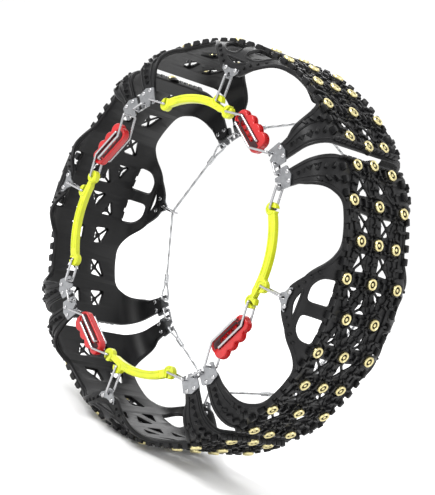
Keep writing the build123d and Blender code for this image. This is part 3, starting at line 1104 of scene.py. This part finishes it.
# ---------------------------------------------------------------- settings
def colour_setting(label, about, *default):
    return FloatVectorProperty(name=label, description=about, subtype="COLOR", size=3,
                               default=default)


def length_setting(label, about, default):
    return FloatProperty(name=label, description=about, subtype="DISTANCE", unit="LENGTH",
                         default=default)


class ChainColours(bpy.types.PropertyGroup):
    net: colour_setting("Net", "Moulded polymer of the net panels", 0.005, 0.005, 0.0055)
    stud: colour_setting("Stud", "Plating of the studs", 0.70, 0.62, 0.32)
    plate: colour_setting("Plate", "Zinc plated steel plates", 0.27, 0.275, 0.285)
    wire: colour_setting("Wire", "Bright plated wire links", 0.42, 0.42, 0.43)
    connector: colour_setting("Connector", "Yellow side connectors", 0.52, 0.57, 0.008)
    lever: colour_setting("Lever", "Red toggle levers", 0.44, 0.003, 0.005)
    # The rack's dark colour is painted shade in the levers' channels.
    rack: colour_setting("Rack", "Dark toothed strips in the levers", 0.05, 0.018, 0.02)
    cable: colour_setting("Cable", "Stranded inner cables", 0.30, 0.30, 0.31)
    floor: colour_setting("Floor", "Pale studio floor", 0.9, 0.9, 0.9)


class ChainSizes(bpy.types.PropertyGroup):
    window_margin: length_setting("Window Margin", "Width of net left round each window", 0.0235)
    lip_radius: length_setting("Lip Radius", "Half the width of the lips along the bays", 0.0042)
    ridge_radius: length_setting("Ridge Radius", "Half the width of the ridges on the arms", 0.0022)
    rim_radius: length_setting("Rim Radius", "Half the width of the middle arm's rims", 0.0024)
    block_variation: FloatProperty(name="Block Variation", subtype="FACTOR", default=0.06,
                                   min=0, max=1, description="How unequal the net's blocks are")
    strand_radius: length_setting("Strand Radius", "Radius of the cable's strands", 0.00088)
    strands: IntProperty(name="Strands", description="Strands in the inner cable", default=6)


class ChainView(bpy.types.PropertyGroup):
    azimuth: FloatProperty(name="Azimuth", description="Camera's angle round the chain",
                           subtype="ANGLE", default=radians(44.0))
    elevation: FloatProperty(name="Elevation", description="Camera's angle above the axle",
                             subtype="ANGLE", default=radians(7.2))
    roll: FloatProperty(name="Roll", description="Camera's turn about its own view line",
                        subtype="ANGLE", default=radians(20.8))
    distance: length_setting("Distance", "Camera to wheel centre", 3.1)
    lens: FloatProperty(name="Lens", subtype="DISTANCE_CAMERA", default=117.0,
                        description="Camera's focal length in millimetres")


# ---------------------------------------------------------------- operators
class CHAIN_OT_net_panels(bpy.types.Operator):
    """Build the four studded net panels of moulded polymer"""
    bl_idname = "chain.net_panels"
    bl_label = "Net Panels"

    def execute(self, context):
        polymer = finish("net_polymer_black", net_material, context.scene.chain_colours.net)
        on_every_panel((net_mesh(polymer), "net", "panel", "net_polymer", 40, "net_panel"))
        return {"FINISHED"}


class CHAIN_OT_studs(bpy.types.Operator):
    """Build the metal studs of each panel"""
    bl_idname = "chain.studs"
    bl_label = "Studs"

    def execute(self, context):
        gold = finish("stud_pale_gold", stud_material, context.scene.chain_colours.stud)
        on_every_panel((stud_mesh(gold), "studs", "panel", "stud_alloy", 30, "stud_set"))
        return {"FINISHED"}


class CHAIN_OT_hardware(bpy.types.Operator):
    """Give the plates, rivets, links, bails and cables their metal"""
    bl_idname = "chain.hardware"
    bl_label = "Plates And Links"

    def execute(self, context):
        colours = context.scene.chain_colours
        plate = finish("plate_zinc", plated_material, colours.plate, 0.36, 0.14)
        wire = finish("wire_bright", plated_material, colours.wire, 0.2, 0.05)
        steel = finish("cable_steel", plated_material, colours.cable, 0.3, 0.1)
        for name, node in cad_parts.items():
            kind = name.rsplit("_", 1)[0]
            if kind in ("end_plates", "tip_plates", "plate_rivets"):
                paint(node, plate)
            elif kind.endswith("link") or kind in ("tensioner_bail", "tensioner_hook",
                                                   "inner_cable"):
                paint(node, wire)
        on_every_panel(
            (rivet_mesh(wire), "rivets", "panel", "rivet_steel", 50, "plate_rivets"),
            (cable_mesh(steel), "cable", "panel", "cable_steel", 50, "inner_cable"),
        )
        return {"FINISHED"}


class CHAIN_OT_tensioners(bpy.types.Operator):
    """Give the yellow connectors and the red levers their plastic"""
    bl_idname = "chain.tensioners"
    bl_label = "Tensioners"

    def execute(self, context):
        colours = context.scene.chain_colours
        yellow = finish("plastic_yellow", plastic_material, colours.connector, 0.36, 0.15)
        red = finish("plastic_red", plastic_material, colours.lever, 0.3, 0.15)
        # The dark rack finish is painted shade in each lever's channel.
        dark = finish("rack_dark", plated_material, colours.rack, 0.45, 0.2, 0.6)
        for name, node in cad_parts.items():
            if name.startswith("side_connector"):
                paint(node, yellow)
            elif name.startswith("tensioner_lever"):
                paint(node, red)
        for row in (
            (connector_ribs(yellow), "connector_ribs", "side_connector", "yellow_plastic", 40),
            (lever_rack(dark), "lever_rack", "tensioner_lever", "plate_steel", 40),
            (lever_grips(red), "lever_grips", "tensioner_lever", "red_plastic", 40),
        ):
            on_every_panel(row)
        return {"FINISHED"}


def plain_floor(name, colour):
    """Matt floor with a barely visible unevenness."""
    material, tree, shader, place = new_material(name, colour, 0.9)
    cloud = noise(tree, place, 1.5, 2, 0.5)
    tint = ramp(tree, cloud, ((0.3, shade(colour, 0.985)), (0.7, shade(colour, 1.0))))
    tree.links.new(tint, shader.inputs["Base Color"])
    return material


class CHAIN_OT_stage(bpy.types.Operator):
    """Set the pale floor, the soft lights and the camera"""
    bl_idname = "chain.stage"
    bl_label = "Stage"

    def execute(self, context):
        scene = context.scene
        view = scene.chain_view
        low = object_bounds()[0][2]
        ground = lathe("floor", ((0, low), (30.0, low)), 64)
        if ground.polygons[0].normal.z < 0:
            ground.flip_normals()
        floor = link("floor", ground)
        paint(floor, finish("floor_pale", plain_floor, scene.chain_colours.floor))
        floor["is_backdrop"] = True
        back = Vector((sin(view.azimuth) * cos(view.elevation),
                       -cos(view.azimuth) * cos(view.elevation), sin(view.elevation)))
        level = Vector((cos(view.azimuth), sin(view.azimuth), 0))
        upright = back.cross(level)
        side = level * cos(view.roll) + upright * sin(view.roll)
        top = upright * cos(view.roll) - level * sin(view.roll)
        camera = link("camera", bpy.data.cameras.new("camera"))
        camera.data.lens = view.lens
        camera.data.clip_end = 100
        camera.matrix_world = (Matrix.Translation(back * view.distance)
                               @ Matrix((side, top, back)).transposed().to_4x4())
        scene.camera = camera
        for name, place, size, power in (
            ("key", side * -1.2 + top * 2.6 + back * 1.6, 1.6, 80),
            ("fill", side * 2.6 + top * 0.6 + back * 2.0, 2.2, 30),
            ("front", side * -1.8 - top * 0.6 + back * 2.6, 2.2, 25),
            ("rear", back * -2.4 + top * 2.0, 2.2, 40),
        ):
            lamp = link(name, bpy.data.lights.new(name, "AREA"))
            lamp.data.size = size
            lamp.data.energy = power
            lamp.matrix_world = (Matrix.Translation(place)
                                 @ place.to_track_quat("Z", "Y").to_matrix().to_4x4())
        scene.world = bpy.data.worlds.new("studio")
        scene.world.use_nodes = True
        sky = scene.world.node_tree.nodes["Background"]
        sky.inputs["Color"].default_value = (1, 1, 1, 1)
        sky.inputs["Strength"].default_value = 1.15
        scene.view_settings.view_transform = "Standard"
        return {"FINISHED"}


class CHAIN_PT_panel(bpy.types.Panel):
    """Lists the pieces in the sidebar"""
    bl_idname = "CHAIN_PT_panel"
    bl_label = "Snow Chain"
    bl_space_type = "VIEW_3D"
    bl_region_type = "UI"
    bl_category = "Snow Chain"

    def draw(self, context):
        for operator in OPERATORS:
            self.layout.operator(operator.bl_idname)
        scene = context.scene
        for group in (scene.chain_colours, scene.chain_sizes, scene.chain_view):
            for name in group.__annotations__:
                self.layout.prop(group, name)


OPERATORS = (
    CHAIN_OT_net_panels, CHAIN_OT_studs, CHAIN_OT_hardware, CHAIN_OT_tensioners, CHAIN_OT_stage,
)
CLASSES = (ChainColours, ChainSizes, ChainView, *OPERATORS, CHAIN_PT_panel)


def register():
    for cls in CLASSES:
        bpy.utils.register_class(cls)
    bpy.types.Scene.chain_colours = PointerProperty(type=ChainColours)
    bpy.types.Scene.chain_sizes = PointerProperty(type=ChainSizes)
    bpy.types.Scene.chain_view = PointerProperty(type=ChainView)


def unregister():
    del bpy.types.Scene.chain_view
    del bpy.types.Scene.chain_sizes
    del bpy.types.Scene.chain_colours
    for cls in reversed(CLASSES):
        bpy.utils.unregister_class(cls)


def main():
    register()
    bpy.ops.chain.net_panels()
    bpy.ops.chain.studs()
    bpy.ops.chain.hardware()
    bpy.ops.chain.tensioners()
    bpy.ops.chain.stage()


if __name__ == "__main__":
    main()
